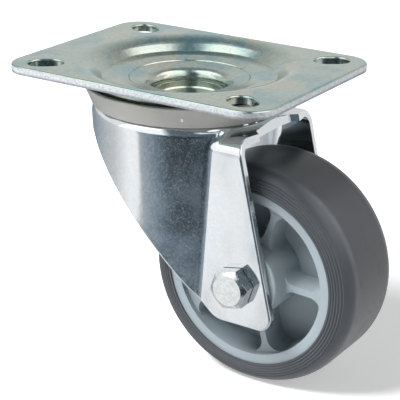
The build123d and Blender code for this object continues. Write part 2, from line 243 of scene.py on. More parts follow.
def outline_mask(group, share, amount):
    """One on the sheet's cut outline: the normal lies flat and x or y nears the half size."""
    normal = add_node(group, "ShaderNodeNewGeometry").outputs["Normal"]
    facing = add_node(group, "ShaderNodeSeparateXYZ", {"Vector": normal})
    upright = math_node(group, "ABSOLUTE", facing.outputs["Z"])
    flat = math_node(group, "MULTIPLY", smooth_step(group, upright, 0.4, 0.15), amount)
    reach = math_node(group, "MAXIMUM", share["X"], share["Y"])
    return math_node(group, "MULTIPLY", flat, smooth_step(group, reach, *OUTLINE_REACH))


def torn_metal(group, place, share):
    """Colour of the cut edge: two greys torn into each other, darker towards the lower side."""
    torn = smooth_step(group, noise(group, place, TORN_SCALE, 4.0, 0.65), 0.4, 0.6)
    bare = mix_colours(group, torn, TORN_DARK, TORN_PALE)
    shade = smooth_step(group, share["Z"], 0.6, 0.9, 1.0, 0.5)
    return mix_colours(group, 1.0, bare, shade, "MULTIPLY")


def zinc_group():
    """Bright zinc plating.

    Broad patches drift between two tints, and fine crystals scatter some light. The cut
    outline of a sheet is torn, paler and rougher. Height is a slow wave of the sheet with
    a little crystal grain on it.
    """
    group, node, out = new_group(
        "zinc_plating",
        [
            ("Base", "NodeSocketColor", colour(0.6, 0.6, 0.6)),
            ("Warm tint", "NodeSocketColor", colour(0.66, 0.62, 0.55)),
            ("Cool tint", "NodeSocketColor", colour(0.5, 0.6, 0.7)),
            ("Tint amount", "NodeSocketFloat", 0.3),
            ("Crystals", "NodeSocketFloat", 0.2),
            ("Smoothness", "NodeSocketFloat", 0.25),
            ("Mottle", "NodeSocketFloat", 0.1),
            ("Cut edges", "NodeSocketFloat", 0.0),
            ("Half size", "NodeSocketVector", (1.0, 1.0, 1.0)),
        ],
        [
            ("Color", "NodeSocketColor"),
            ("Metallic", "NodeSocketFloat"),
            ("Roughness", "NodeSocketFloat"),
            ("Height", "NodeSocketFloat"),
        ],
    )
    given = node.outputs
    place = add_node(group, "ShaderNodeTexCoord").outputs["Object"]
    grain = noise(group, place, GRAIN_SCALE, 3.0, 0.75)
    cloud = noise(group, place, CLOUD_SCALE, 4.0, 0.65)
    share = share_of_half_size(group, place, given["Half size"])
    cut = outline_mask(group, share, given["Cut edges"])

    specks = speckle(group, grain, cloud, given["Mottle"])
    plated = mix_colours(group, 1.0, tinted_patches(group, place, given), specks, "MULTIPLY")
    bare = torn_metal(group, place, share)
    group.links.new(mix_colours(group, cut, plated, bare), out.inputs["Color"])

    crystals = smooth_step(group, grain, 0.47, 0.62)
    scatter = math_node(group, "MULTIPLY", crystals, given["Crystals"])
    dull = math_node(group, "MULTIPLY", cut, CUT_SCATTER)
    scatter = math_node(group, "MAXIMUM", scatter, dull)
    group.links.new(math_node(group, "SUBTRACT", 1.0, scatter), out.inputs["Metallic"])

    uneven = math_node(group, "MULTIPLY", cloud, CLOUD_ROUGHNESS)
    rough = math_node(group, "ADD", uneven, math_node(group, "MULTIPLY", cut, CUT_ROUGHNESS))
    rough = math_node(group, "ADD", rough, given["Smoothness"])
    group.links.new(rough, out.inputs["Roughness"])

    wave = noise(group, place, WAVE_SCALE, 1.0, 0.4)
    fine = math_node(group, "MULTIPLY", grain, GRAIN_HEIGHT)
    group.links.new(math_node(group, "ADD", wave, fine), out.inputs["Height"])
    return group


def moulded_group():
    """Moulded surface: slow colour drift, fine orange peel and light scuffs."""
    group, node, out = new_group(
        "moulded_skin",
        [
            ("Base", "NodeSocketColor", colour(0.5, 0.5, 0.5)),
            ("Drift", "NodeSocketFloat", 0.1),
            ("Grain scale", "NodeSocketFloat", 900.0),
            ("Roughness", "NodeSocketFloat", 0.5),
            ("Scuffs", "NodeSocketFloat", 0.1),
        ],
        [
            ("Color", "NodeSocketColor"),
            ("Roughness", "NodeSocketFloat"),
            ("Height", "NodeSocketFloat"),
        ],
    )
    given = node.outputs
    place = add_node(group, "ShaderNodeTexCoord").outputs["Object"]
    slow = math_node(group, "SUBTRACT", noise(group, place, DRIFT_SCALE, 2.0), 0.5)
    drift = math_node(group, "MULTIPLY", slow, given["Drift"])
    shade = math_node(group, "ADD", drift, 1.0)
    shaded = mix_colours(group, 1.0, given["Base"], shade, "MULTIPLY")
    group.links.new(shaded, out.inputs["Color"])
    scuff = smooth_step(group, noise(group, place, SCUFF_SCALE, 5.0, 0.75), 0.52, 0.75)
    scuff = math_node(group, "MULTIPLY", scuff, given["Scuffs"])
    rough = math_node(group, "ADD", given["Roughness"], scuff)
    group.links.new(rough, out.inputs["Roughness"])
    fine = noise(group, place, given["Grain scale"], 3.0, 0.6)
    group.links.new(fine, out.inputs["Height"])
    return group


def finish_surface(tree, shader, group_node, bump, distance, names=("Base Color", "Roughness")):
    """Links a group's outputs to the shader, with its height as a bump of that distance.

    The shader's Base Color takes the output called Color, and the others keep their name.
    """
    for name in names:
        tree.links.new(group_node.outputs[name.replace("Base ", "")], shader.inputs[name])
    inputs = {"Height": group_node.outputs["Height"], "Strength": bump, "Distance": distance}
    relief = add_node(tree, "ShaderNodeBump", inputs)
    tree.links.new(relief.outputs["Normal"], shader.inputs["Normal"])


def zinc_material(
    name, base, warm, cool, amount, crystals, smoothness, wave=0.4 * MM, mottle=0.1, half_size=None
):
    """Zinc plating with patches of two tints. A sheet with a half size shows its cut outline.

    Amount is the strength of the tints, crystals that of the scattered light, mottle that
    of the specks, and wave the height of the sheet's slow wave.
    """
    material, tree, shader = new_material(name)
    group = bpy.data.node_groups.get("zinc_plating") or zinc_group()
    values = {
        "Base": base,
        "Warm_tint": warm,
        "Cool_tint": cool,
        "Tint_amount": amount,
        "Crystals": crystals,
        "Smoothness": smoothness,
        "Mottle": mottle,
        "Cut_edges": 0.0 if half_size is None else 1.0,
        "Half_size": half_size or (1.0, 1.0, 1.0),
    }
    placed = place_group(tree, group, **values)
    finish_surface(tree, shader, placed, 1.0, wave, ("Base Color", "Metallic", "Roughness"))
    return material


def moulded_material(name, base, drift, grain, roughness, scuffs, bump):
    """Plastic or rubber, with grain in repeats a metre and bump as the strength of its relief."""
    material, tree, shader = new_material(name)
    group = bpy.data.node_groups.get("moulded_skin") or moulded_group()
    values = {
        "Base": base,
        "Drift": drift,
        "Grain_scale": grain,
        "Roughness": roughness,
        "Scuffs": scuffs,
    }
    placed = place_group(tree, group, **values)
    finish_surface(tree, shader, placed, bump, MOULDED_RELIEF)
    return material


def paint_shoulder_highlight(material, place, reach, pale):
    """Painted highlight: paler bands where the tread meets each shoulder, by distance from the
    middle.
    """
    tree = material.node_tree
    shader = next(node for node in tree.nodes if node.type == "BSDF_PRINCIPLED")
    plain = shader.inputs["Base Color"].links[0].from_socket
    spot = add_node(tree, "ShaderNodeTexCoord").outputs["Object"]
    across = add_node(tree, "ShaderNodeSeparateXYZ", {"Vector": spot}).outputs["Y"]
    side = math_node(tree, "ABSOLUTE", across)
    rise = smooth_step(tree, side, place - reach, place)
    fall = smooth_step(tree, side, place + reach, place)
    band = math_node(tree, "MULTIPLY", rise, fall)
    # The painted highlight breaks up with noise and is mixed over the rubber's own colour.
    highlight_breakup = smooth_step(tree, noise(tree, spot, HIGHLIGHT_BREAKUP_SCALE, 3.0, 0.6), 0.3, 0.62, 0.35, 1.0)
    highlighted = mix_colours(tree, math_node(tree, "MULTIPLY", band, highlight_breakup), plain, pale)
    tree.links.new(highlighted, shader.inputs["Base Color"])


# ---------------------------------------------------------------- mesh helpers

# Points along the tyre's shoulder, its side and its seat on the rim, and rings round it.
SHOULDER_POINTS = 110
SIDE_POINTS = 10
SEAT_POINTS = 11
TYRE_STEPS = 300
# Shares of the shoulder's radius: how far in from the flat side the rings start, and how
# far they take to reach their full depth.
RING_START_SHARE = 0.35
RING_FADE_SHARE = 0.1

# Points round the bolt, up its head and along its thread.
BOLT_STEPS = 240
HEAD_STEPS = 36
THREAD_STEPS = 150
# Radius of the washer face under the head, as a share of the width across flats.
WASHER_FACE_SHARE = 0.47
# Steepness of the thread's flanks. Above one it leaves a flat on the crest and the root.
THREAD_FLANK = 1.25

# Points up the seal, over its lip and round it, and the power of its flare.
SEAL_POINTS = 24
LIP_POINTS = 12
SEAL_STEPS = 256
SEAL_FLARE_POWER = 1.15

# Points round a bead and down it, and the angles from its top where its caps are.
BEAD_STEPS = 24
BEAD_ROWS = 12
BEAD_ENDS = (0.15, 3.0)

SKIRT_STEPS = 192


def enclosed_volume(mesh):
    """Sum of the tetrahedra from the origin to each triangle, positive when faces look out."""
    mesh.calc_loop_triangles()
    corners = np.empty(len(mesh.loop_triangles) * 3, dtype=np.int32)
    mesh.loop_triangles.foreach_get("vertices", corners)
    places = np.empty(len(mesh.vertices) * 3)
    mesh.vertices.foreach_get("co", places)
    first, second, third = places.reshape(-1, 3)[corners.reshape(-1, 3)].transpose(1, 0, 2)
    return float((first * np.cross(second, third)).sum() / 6)


def mesh_object(name, points, faces, body, material, crease=180.0):
    """A smooth piece that rides on a body, with edges sharper than the crease angle kept."""
    mesh = bpy.data.meshes.new(name)
    mesh.from_pydata(points.tolist(), [], faces)
    mesh.update()
    if enclosed_volume(mesh) < 0:
        mesh.flip_normals()
    mesh.shade_smooth()
    mesh.set_sharp_from_angle(angle=math.radians(crease))
    piece = bpy.data.objects.new(name, mesh)
    bpy.context.scene.collection.objects.link(piece)
    mesh.materials.append(material)
    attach(piece, body)
    return piece


def grid_faces(rows, columns, wrap_rows, wrap_columns):
    """Quads of a grid of points, numbered row by row, closed along either way."""
    row = np.arange(rows if wrap_rows else rows - 1)
    column = np.arange(columns if wrap_columns else columns - 1)
    row, column = np.meshgrid(row, column, indexing="ij")
    next_row = (row + 1) % rows
    next_column = (column + 1) % columns
    corners = [
        row * columns + column,
        next_row * columns + column,
        next_row * columns + next_column,
        row * columns + next_column,
    ]
    return np.stack([corner.ravel() for corner in corners], axis=1)


def turned(profile, steps, centre, upright):
    """A closed (radius, height) section turned about a centre.

    Each point goes round a circle of its own radius. The circle lies flat at its height
    when upright, and otherwise stands square to the axle with its height along +Y.
    """
    turn = np.linspace(0.0, 2.0 * math.pi, steps, endpoint=False)
    east = profile[:, :1] * np.cos(turn)
    other = profile[:, :1] * np.sin(turn)
    height = np.repeat(profile[:, 1:], steps, axis=1)
    order = [east, other, height] if upright else [east, height, other]
    points = np.stack(order, axis=2).reshape(-1, 3) + centre
    return points, grid_faces(len(profile), steps, True, True).tolist()


def arc(centre, radius, start, end, count):
    """Points (radius, width) on a circle, by angle from the outward direction."""
    angle = np.linspace(start, end, count)
    across = centre[0] + radius * np.cos(angle)
    return np.column_stack([across, centre[1] + radius * np.sin(angle)])


def tyre_profile(tyre):
    """Closed (radius, width) section of the tyre, anticlockwise.

    A flat tread, a round shoulder and a flat side run down to the rim. Each ring in the
    side is a dip of depth times exp(-(distance / width)^2), square to the surface. The
    dips fade out round the shoulder, so the tread stays plain.
    """
    outer, half = tyre["radius"], tyre["half_width"]
    shoulder, seat = tyre["shoulder"], tyre["seat"]
    centre = (outer - shoulder, half - shoulder)
    corner = arc(centre, shoulder, 0.0, math.pi / 2, SHOULDER_POINTS)
    down = np.linspace(outer - shoulder, seat, SIDE_POINTS)[1:]
    side = np.column_stack([down, np.full(len(down), half)])
    upper = np.vstack([corner, side])
    step = np.gradient(upper, axis=0)
    step /= np.linalg.norm(step, axis=1)[:, None]
    outward = np.column_stack([step[:, 1], -step[:, 0]])
    rings = seat + tyre["ring_start"] + tyre["ring_spacing"] * np.arange(tyre["ring_count"])
    away = (upper[:, :1] - rings) / tyre["ring_width"]
    dip = tyre["ring_depth"] * np.exp(-(away ** 2)).sum(axis=1)
    start, fade = RING_START_SHARE, RING_FADE_SHARE
    flat_side = np.clip((upper[:, 1] - half + shoulder * start) / (shoulder * fade), 0, 1)
    upper = upper - outward * (dip * flat_side)[:, None]
    lower = upper[::-1] * (1.0, -1.0)
    width = np.linspace(half, -half, SEAT_POINTS)[1:-1]
    inner = np.column_stack([np.full(len(width), seat), width])
    return np.vstack([upper, inner, lower])


def head_section(turn, level, bolt):
    """Radius of the bolt's head at an angle and a level from 0 on the leg to 1 on its face.

    The hexagon's radius is half the width across flats over the cosine of the angle to the
    nearest flat. A cone of the chamfer's angle trims it, so the corners end in arcs.
    """
    sixth = math.pi / 3
    nearest = (turn + sixth / 2) % sixth - sixth / 2
    hexagon = bolt["flats"] / 2 / np.cos(nearest)
    cone = bolt["face"] + (1.0 - level) * bolt["head"] / math.tan(bolt["chamfer"])
    return np.minimum(hexagon, cone)


def bolt_surface(bolt):
    """The axle bolt as rings along Y: head, shank, thread and a chamfered end.

    The thread's radius falls from the outside to the root as a triangle wave, with its
    tips cut flat, of (distance / pitch - turn / full turn). The end's chamfer trims it.
    """
    turn = np.linspace(0.0, 2.0 * math.pi, BOLT_STEPS, endpoint=False) + bolt["turn"]
    level = np.linspace(1.0, 0.0, HEAD_STEPS)[:, None]
    head = head_section(turn[None, :] - bolt["turn"] - math.pi / 6, level, bolt)
    head_y = -bolt["leg"] - bolt["seat"] - level[:, 0] * (bolt["head"] - bolt["seat"])
    seat = np.full((2, len(turn)), WASHER_FACE_SHARE * bolt["flats"])
    shank = np.full((2, len(turn)), bolt["radius"])
    thread_y = np.linspace(bolt["thread_start"], bolt["tip"], THREAD_STEPS)
    phase = (thread_y[:, None] / bolt["pitch"] - turn[None, :] / (2 * math.pi)) % 1.0
    triangle = np.abs(2 * phase - 1)
    wave = np.clip(THREAD_FLANK * triangle - (THREAD_FLANK - 1) / 2, 0, 1)
    thread = bolt["radius"] - bolt["thread_depth"] * wave
    limit = bolt["radius"] - np.clip(thread_y - bolt["tip"] + bolt["end"], 0, None)
    thread = np.minimum(thread, limit[:, None])
    radius = np.vstack([head, seat, shank, thread])
    seat_y = [-bolt["leg"] - bolt["seat"], -bolt["leg"]]
    along = np.concatenate([head_y, seat_y, [-bolt["leg"], bolt["thread_start"]], thread_y])
    count = len(turn)
    width = np.repeat(along[:, None], count, axis=1)
    points = np.stack([radius * np.cos(turn), width, radius * np.sin(turn)], axis=2)
    points = points.reshape(-1, 3)
    caps = [list(range(count))[::-1], list(range(len(points) - count, len(points)))]
    return points + AXLE, grid_faces(len(radius), count, False, True).tolist() + caps


def seal_profile(seal):
    """Closed (radius, height) section of the flared ring, from its foot up and down the inside.

    The outside runs from the foot's radius to the top's as the height's share to a power
    just above one. A half circle over the wall makes the lip, and the inside is the
    outside moved in by the wall. It stops short of the foot, where the underside starts.
    """
    share = np.linspace(0.0, 1.0, SEAL_POINTS)[:, None]
    height = seal["foot"] + share * (seal["top"] - seal["foot"])
    flare = share ** SEAL_FLARE_POWER
    radius = seal["foot_radius"] + flare * (seal["top_radius"] - seal["foot_radius"])
    outside = np.hstack([radius, height])
    half_wall = seal["wall"] / 2
    lip = arc(outside[-1] - (half_wall, 0.0), half_wall, 0.0, math.pi, LIP_POINTS)[1:]
    inside = (outside - (seal["wall"], 0.0))[::-1][1:-3]
    return np.vstack([outside, lip, inside, seal["under"]])


def dome(place, outward, half_width, half_height, rise):
    """A small closed oval bead: half width and half height on the skin, rise along outward.

    Its points are sin(down) across and cos(down) outward, as on a ball, each scaled by its
    own size.
    """
    turn = np.linspace(0, 2 * math.pi, BEAD_STEPS, endpoint=False)
    across, down = np.meshgrid(turn, np.linspace(*BEAD_ENDS, BEAD_ROWS))
    side = np.cross((0.0, 0.0, 1.0), outward)
    offsets = (
        (np.sin(down) * np.cos(across) * half_width)[..., None] * side
        + (np.sin(down) * np.sin(across) * half_height)[..., None] * np.array([0.0, 0.0, 1.0])
        + (np.cos(down) * rise)[..., None] * outward
    )
    points = (place + offsets).reshape(-1, 3)
    last = len(points) - BEAD_STEPS
    caps = [list(range(BEAD_STEPS))[::-1], list(range(last, len(points)))]
    return points, grid_faces(BEAD_ROWS, BEAD_STEPS, False, True).tolist() + caps


# ---------------------------------------------------------------- settings


class CastorFinish(bpy.types.PropertyGroup):
    """Colours of the finishes"""

    plate_zinc: bpy.props.FloatVectorProperty(
        name="Plate zinc", description="Colour of the plated top plate", subtype="COLOR",
        size=4, default=colour(0.42, 0.49, 0.44), min=0.0, max=1.0,
    )
    fork_zinc: bpy.props.FloatVectorProperty(
        name="Fork zinc", description="Colour of the plated fork", subtype="COLOR",
        size=4, default=colour(0.72, 0.75, 0.77), min=0.0, max=1.0,
    )
    seal_grey: bpy.props.FloatVectorProperty(
        name="Seal grey", description="Colour of the dust seal", subtype="COLOR",
        size=4, default=colour(0.31, 0.31, 0.295), min=0.0, max=1.0,
    )
    wheel_grey: bpy.props.FloatVectorProperty(
        name="Wheel grey", description="Colour of the wheel's plastic", subtype="COLOR",
        size=4, default=colour(0.27, 0.32, 0.35), min=0.0, max=1.0,
    )
    tyre_grey: bpy.props.FloatVectorProperty(
        name="Tyre grey", description="Colour of the tyre's rubber", subtype="COLOR",
        size=4, default=colour(0.058, 0.064, 0.073), min=0.0, max=1.0,
    )


def length(name, description, default):
    """A length property whose default is given in millimetres."""
    return bpy.props.FloatProperty(
        name=name, description=description, default=default * MM, unit="LENGTH", precision=5
    )


def degrees(name, description, default):
    """An angle property whose default is given in degrees."""
    return bpy.props.FloatProperty(
        name=name, description=description, default=math.radians(default), subtype="ANGLE"
    )


class CastorSizes(bpy.types.PropertyGroup):
    """Sizes of the tyre's skin, the seal and the bolt's thread"""

    shoulder: length("Shoulder", "Radius of the tyre's shoulder", 7.35)
    tyre_depth: length("Tyre depth", "From the tread down to the rim", 8.2)
    ring_spacing: length("Ring spacing", "Distance between the fine rings in the tyre's side", 0.95)
    ring_depth: length("Ring depth", "Depth of the fine rings", 0.3)
    ring_count: bpy.props.IntProperty(
        name="Rings", description="Number of fine rings", default=5, min=0
    )
    seal_foot: length("Seal foot", "Height of the seal's lower edge", -13.4)
    seal_wall: length("Seal wall", "Thickness of the seal's wall", 1.3)
    thread_pitch: length("Thread pitch", "Rise of the bolt's thread in one turn", 1.25)
    thread_depth: length("Thread depth", "Depth of the bolt's thread", 0.7)
    bolt_turn: degrees("Bolt turn", "Angle of the bolt's hexagon", 11.5)


class CastorView(bpy.types.PropertyGroup):
    """Where the camera stands and how it looks"""

    azimuth: degrees("Azimuth", "Camera's turn round the castor", 33.67)
    elevation: degrees("Elevation", "Camera's angle above the horizon", 20.75)
    roll: degrees("Roll", "Camera's turn about its own axis", 0.4)
    distance: length("Distance", "Camera's distance from the point it looks at", 506.2)
    lens: bpy.props.FloatProperty(
        name="Lens", description="Focal length for a 36 mm sensor", default=125.57, unit="CAMERA"
    )


# ---------------------------------------------------------------- operators

PLATE_THICKNESS = 2.8 * MM

# The skirt that shows between the plate and the seal, as (radius, height) points.
SKIRT_SECTION = MM * np.array(
    [(35.9, -2.7), (35.9, -5.9), (35.7, -6.4), (35.3, -6.4), (35.0, -5.9), (35.0, -2.7)]
)

SEAL_FOOT_RADIUS = 34.4 * MM
# The seal's underside, from inside its wall round to the foot, as (radius, height) points.
SEAL_UNDERSIDE = MM * np.array(
    [
        (31.0, -11.6),
        (29.5, -11.9),
        (29.5, -12.38),
        (31.2, -12.38),
        (32.3, -12.7),
        (33.2, -13.3),
    ]
)
# The moulding bead's middle on the seal, and its half width, half height and rise.
BEAD_AZIMUTH = math.radians(29.6)
BEAD_RADIUS = 35.75 * MM
BEAD_HEIGHT = -10.0 * MM
BEAD_SIZES = (0.45 * MM, 0.8 * MM, 0.45 * MM)

# From the swivel axis to the outer face of the leg that the bolt's head sits on.
LEG_FACE = 24.5 * MM
BOLT_RADIUS = 4.0 * MM
BOLT_FLATS = 13.0 * MM
BOLT_CHAMFER = math.radians(33)
# Radius of the flat disc that the chamfer leaves on the head.
BOLT_FACE_RADIUS = 5.395 * MM
WASHER_FACE_HEIGHT = 0.4 * MM
THREAD_START = 18.0 * MM
BOLT_END_CHAMFER = 0.8 * MM

RING_WIDTH = 0.2 * MM
# The painted highlight bands' distance from the tyre's middle, and how far they reach either way.
HIGHLIGHT_BAND_PLACE = 11.5 * MM
HIGHLIGHT_BAND_REACH = 1.9 * MM


class CASTOR_OT_head(bpy.types.Operator):
    """Plate, king pin, race and its skirt in zinc, and rolling parts in bearing steel"""

    bl_idname = "castor.head"
    bl_label = "Finish the swivel head"

    def execute(self, context):
        base = context.scene.castor_finish.plate_zinc
        warm, cool = colour(0.5, 0.49, 0.42), colour(0.27, 0.42, 0.43)
        half_size = tuple(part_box("mounting_plate")[1][:2]) + (PLATE_THICKNESS,)
        zinc = zinc_material(
            "plate_zinc", base, warm, cool,
            amount=0.8, crystals=0.04, smoothness=0.13, wave=0.2 * MM, half_size=half_size,
        )
        paint(zinc, "mounting_plate", "king_pin", "lower_race_cup")
        points, faces = turned(SKIRT_SECTION, SKIRT_STEPS, (0.0, 0.0, 0.0), True)
        mesh_object("race_skirt", points, faces, "head", zinc, 60.0)
        grey = colour(0.6, 0.6, 0.6)
        steel = zinc_material(
            "bearing_steel", grey, grey, grey,
            amount=0.0, crystals=0.0, smoothness=0.06, wave=0.0,
        )
        paint(steel, "upper_balls", "lower_balls", "bearing_rollers", "axle_sleeve")
        return {"FINISHED"}


class CASTOR_OT_fork(bpy.types.Operator):
    """Drawn fork in blue-white zinc"""

    bl_idname = "castor.fork"
    bl_label = "Finish the fork"

    def execute(self, context):
        base = context.scene.castor_finish.fork_zinc
        warm, cool = colour(0.74, 0.75, 0.76), colour(0.68, 0.74, 0.79)
        zinc = zinc_material(
            "fork_zinc", base, warm, cool,
            amount=0.5, crystals=0.1, smoothness=0.04, mottle=0.035,
        )
        paint(zinc, "swivel_fork")
        return {"FINISHED"}


class CASTOR_OT_seal(bpy.types.Operator):
    """Flared plastic dust seal, with the bead where it was moulded"""

    bl_idname = "castor.seal"
    bl_label = "Make the dust seal"

    def execute(self, context):
        sizes = context.scene.castor_sizes
        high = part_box("dust_seal")[1]
        seal = {
            "foot": sizes.seal_foot,
            "top": high[2] - sizes.seal_wall / 2,
            "foot_radius": SEAL_FOOT_RADIUS,
            "top_radius": high[0],
            "wall": sizes.seal_wall,
            "under": SEAL_UNDERSIDE,
        }
        grey = context.scene.castor_finish.seal_grey
        plastic = moulded_material(
            "seal_plastic", grey, drift=0.1, grain=1200.0, roughness=0.42, scuffs=0.1, bump=0.08
        )
        points, faces = turned(seal_profile(seal), SEAL_STEPS, (0.0, 0.0, 0.0), True)
        piece = mesh_object("flared_seal", points, faces, "fork", plastic, 50.0)
        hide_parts("dust_seal")
        outward = np.array([math.sin(BEAD_AZIMUTH), -math.cos(BEAD_AZIMUTH), 0.0])
        place = outward * BEAD_RADIUS + (0.0, 0.0, BEAD_HEIGHT)
        points, faces = dome(place, outward, *BEAD_SIZES)
        pale = moulded_material(
            "seal_bead", colour(0.8, 0.8, 0.78),
            drift=0.05, grain=1200.0, roughness=0.3, scuffs=0.05, bump=0.02,
        )
        mesh_object("seal_gate_bead", points, faces, "fork", pale)
        return {"FINISHED"}


class CASTOR_OT_fasteners(bpy.types.Operator):
    """Axle bolt, lock nut, its insert and the washers"""

    bl_idname = "castor.fasteners"
    bl_label = "Finish the fasteners"

    def execute(self, context):
        base = colour(0.72, 0.75, 0.75)
        warm, cool = colour(0.74, 0.72, 0.66), colour(0.6, 0.7, 0.74)
        zinc = zinc_material(
            "fastener_zinc", base, warm, cool,
            amount=0.4, crystals=0.05, smoothness=0.08, wave=0.1 * MM,
        )
        paint(zinc, "axle_bolt", "lock_nut", "near_thrust_washer", "far_thrust_washer")
        sizes = context.scene.castor_sizes
        low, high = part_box("axle_bolt")
        bolt = {
            "turn": sizes.bolt_turn,
            "leg": LEG_FACE,
            "head": -low[1] - LEG_FACE,
            "seat": WASHER_FACE_HEIGHT,
            "flats": BOLT_FLATS,
            "face": BOLT_FACE_RADIUS,
            "chamfer": BOLT_CHAMFER,
            "radius": BOLT_RADIUS,
            "thread_start": THREAD_START,
            "tip": high[1],
            "end": BOLT_END_CHAMFER,
            "pitch": sizes.thread_pitch,
            "thread_depth": sizes.thread_depth,
        }
        points, faces = bolt_surface(bolt)
        piece = mesh_object("threaded_bolt", points, faces, "fork", zinc, 20.0)
        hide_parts("axle_bolt")
        nylon = moulded_material(
            "insert_nylon", colour(0.08, 0.2, 0.45),
            drift=0.1, grain=1500.0, roughness=0.4, scuffs=0.05, bump=0.05,
        )
        paint(nylon, "nut_insert")
        return {"FINISHED"}


class CASTOR_OT_wheel(bpy.types.Operator):
    """Wheel centre, tyre and bearing cage"""

    bl_idname = "castor.wheel"
    bl_label = "Finish the wheel"

    def execute(self, context):
        finish = context.scene.castor_finish
        plastic = moulded_material(
            "wheel_plastic", finish.wheel_grey,
            drift=0.12, grain=1000.0, roughness=0.38, scuffs=0.12, bump=0.08,
        )
        paint(plastic, "wheel_hub", "wheel_web", "wheel_spokes", "wheel_rim")
        rubber = moulded_material(
            "tyre_rubber", finish.tyre_grey,
            drift=0.2, grain=700.0, roughness=0.36, scuffs=0.15, bump=0.12,
        )
        # Paints a highlight band on each of the tyre's shoulders.
        paint_shoulder_highlight(rubber, HIGHLIGHT_BAND_PLACE, HIGHLIGHT_BAND_REACH, colour(0.12, 0.13, 0.145))
        paint(rubber, "tyre")
        sizes = context.scene.castor_sizes
        low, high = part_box("tyre")
        radius = (high[2] - low[2]) / 2
        tyre = {
            "radius": radius,
            "half_width": high[1],
            "shoulder": sizes.shoulder,
            "seat": radius - sizes.tyre_depth,
            "ring_start": sizes.ring_spacing,
            "ring_spacing": sizes.ring_spacing,
            "ring_count": sizes.ring_count,
            "ring_width": RING_WIDTH,
            "ring_depth": sizes.ring_depth,
        }
        points, faces = turned(tyre_profile(tyre), TYRE_STEPS, AXLE, False)
        piece = mesh_object("smooth_tyre", points, faces, "wheel", rubber, 60.0)
        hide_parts("tyre")
        cage = moulded_material(
            "cage_plastic", colour(0.03, 0.03, 0.03),
            drift=0.1, grain=1000.0, roughness=0.5, scuffs=0.1, bump=0.05,
        )
        paint(cage, "roller_cage")
        return {"FINISHED"}


# ---------------------------------------------------------------- studio

DEGREE = math.pi / 180
# Brightness of the lower room at angles round from -Y towards +X: a wall that grows pale
# to the left, its sharp end, a dark front, and a pale wall from the right to the back.
ROOM_LEVELS = (
    (-115, 0.34),
    (-68, 0.68),
    (-43, 1.13),
    (-31, 1.12),
    (-26, 0.44),
    (9, 0.07),
    (33, 0.035),
    (60, 0.1),
    (85, 0.9),
)
# The room's directions to the right and to the front.
ROOM_RIGHT = (0.832, 0.554, 0.0)
ROOM_FRONT = (0.554, -0.832, 0.0)
# Half the width of the ceiling lights' soft long edges, and the fade at their ends.
LIGHT_EDGE = 0.09
LIGHT_FADE = 10 * DEGREE
TABLE_LEVEL = 0.8
FRONT_CEILING_LEVEL = 0.14
CEILING_END_LEVEL = 0.95
# Light that matt surfaces get from the world, and that the camera sees past the floor.
MATT_STRENGTH = 0.15
BACKGROUND_STRENGTH = 1.0

FLOOR_HALF_SIZE = 3.0
FLOOR_GLOW = 0.42
LIGHT_TARGET = (0.01, 0.0, -0.05)
CAMERA_AIM = (-0.00364, 0.0, -0.05025)
# The frame's shift to the right and up, as shares of its width.
CAMERA_SHIFT = (0.05, -0.0151)
SENSOR_WIDTH = 36.0


def window(tree, value, low, high, soft):
    """One between low and high, fading to zero over the soft margin outside them."""
    rise = smooth_step(tree, value, low - soft, low)
    fall = smooth_step(tree, value, high, high + soft, 1.0, 0.0)
    return math_node(tree, "MULTIPLY", rise, fall)


def layer(tree, value, factor, level):
    """The level laid over the value where the factor is one."""
    keep = math_node(tree, "SUBTRACT", 1.0, factor)
    kept = math_node(tree, "MULTIPLY", value, keep)
    return math_node(tree, "ADD", kept, math_node(tree, "MULTIPLY", factor, level))


def ceiling_lights(tree, tilt, right):
    """One in either of the two lights that lie side by side in the ceiling.

    The dark gap between them widens towards the back, and on its left side also towards
    the front.
    """
    spread = smooth_step(tree, tilt, 80 * DEGREE, 130 * DEGREE, 0.0, 0.56)
    narrow = smooth_step(tree, tilt, 45 * DEGREE, 80 * DEGREE, 0.42, 0.13)
    past_left = math_node(tree, "ADD", right, math_node(tree, "ADD", narrow, spread))
    past_right = math_node(tree, "SUBTRACT", right, math_node(tree, "ADD", spread, 0.16))
    left_light = math_node(
        tree,
        "MULTIPLY",
        smooth_step(tree, past_left, LIGHT_EDGE, -LIGHT_EDGE),
        window(tree, tilt, 3 * DEGREE, 126 * DEGREE, LIGHT_FADE),
    )
    right_light = math_node(
        tree,
        "MULTIPLY",
        smooth_step(tree, past_right, -LIGHT_EDGE, LIGHT_EDGE),
        window(tree, tilt, 25 * DEGREE, 128 * DEGREE, LIGHT_FADE),
    )
    return math_node(tree, "ADD", left_light, right_light)


def ceiling_level(tree, tilt, right):
    """Brightness above the horizon, by tilt from the front over the top to the back.

    It is dark in front and paler behind, with the two lights in it and pale ends beside.
    """
    above = smooth_step(tree, tilt, 105 * DEGREE, 160 * DEGREE, 0.31, 0.8)
    front = smooth_step(tree, tilt, 88 * DEGREE, 40 * DEGREE)
    above = layer(tree, above, front, FRONT_CEILING_LEVEL)
    glow = smooth_step(tree, tilt, 30 * DEGREE, 70 * DEGREE, 1.25, 2.2)
    above = layer(tree, above, ceiling_lights(tree, tilt, right), glow)
    beside = math_node(tree, "ABSOLUTE", right)
    ends = math_node(
        tree,
        "MULTIPLY",
        smooth_step(tree, beside, 0.68, 0.84),
        smooth_step(tree, tilt, 64 * DEGREE, 80 * DEGREE),
    )
    return layer(tree, above, ends, CEILING_END_LEVEL)


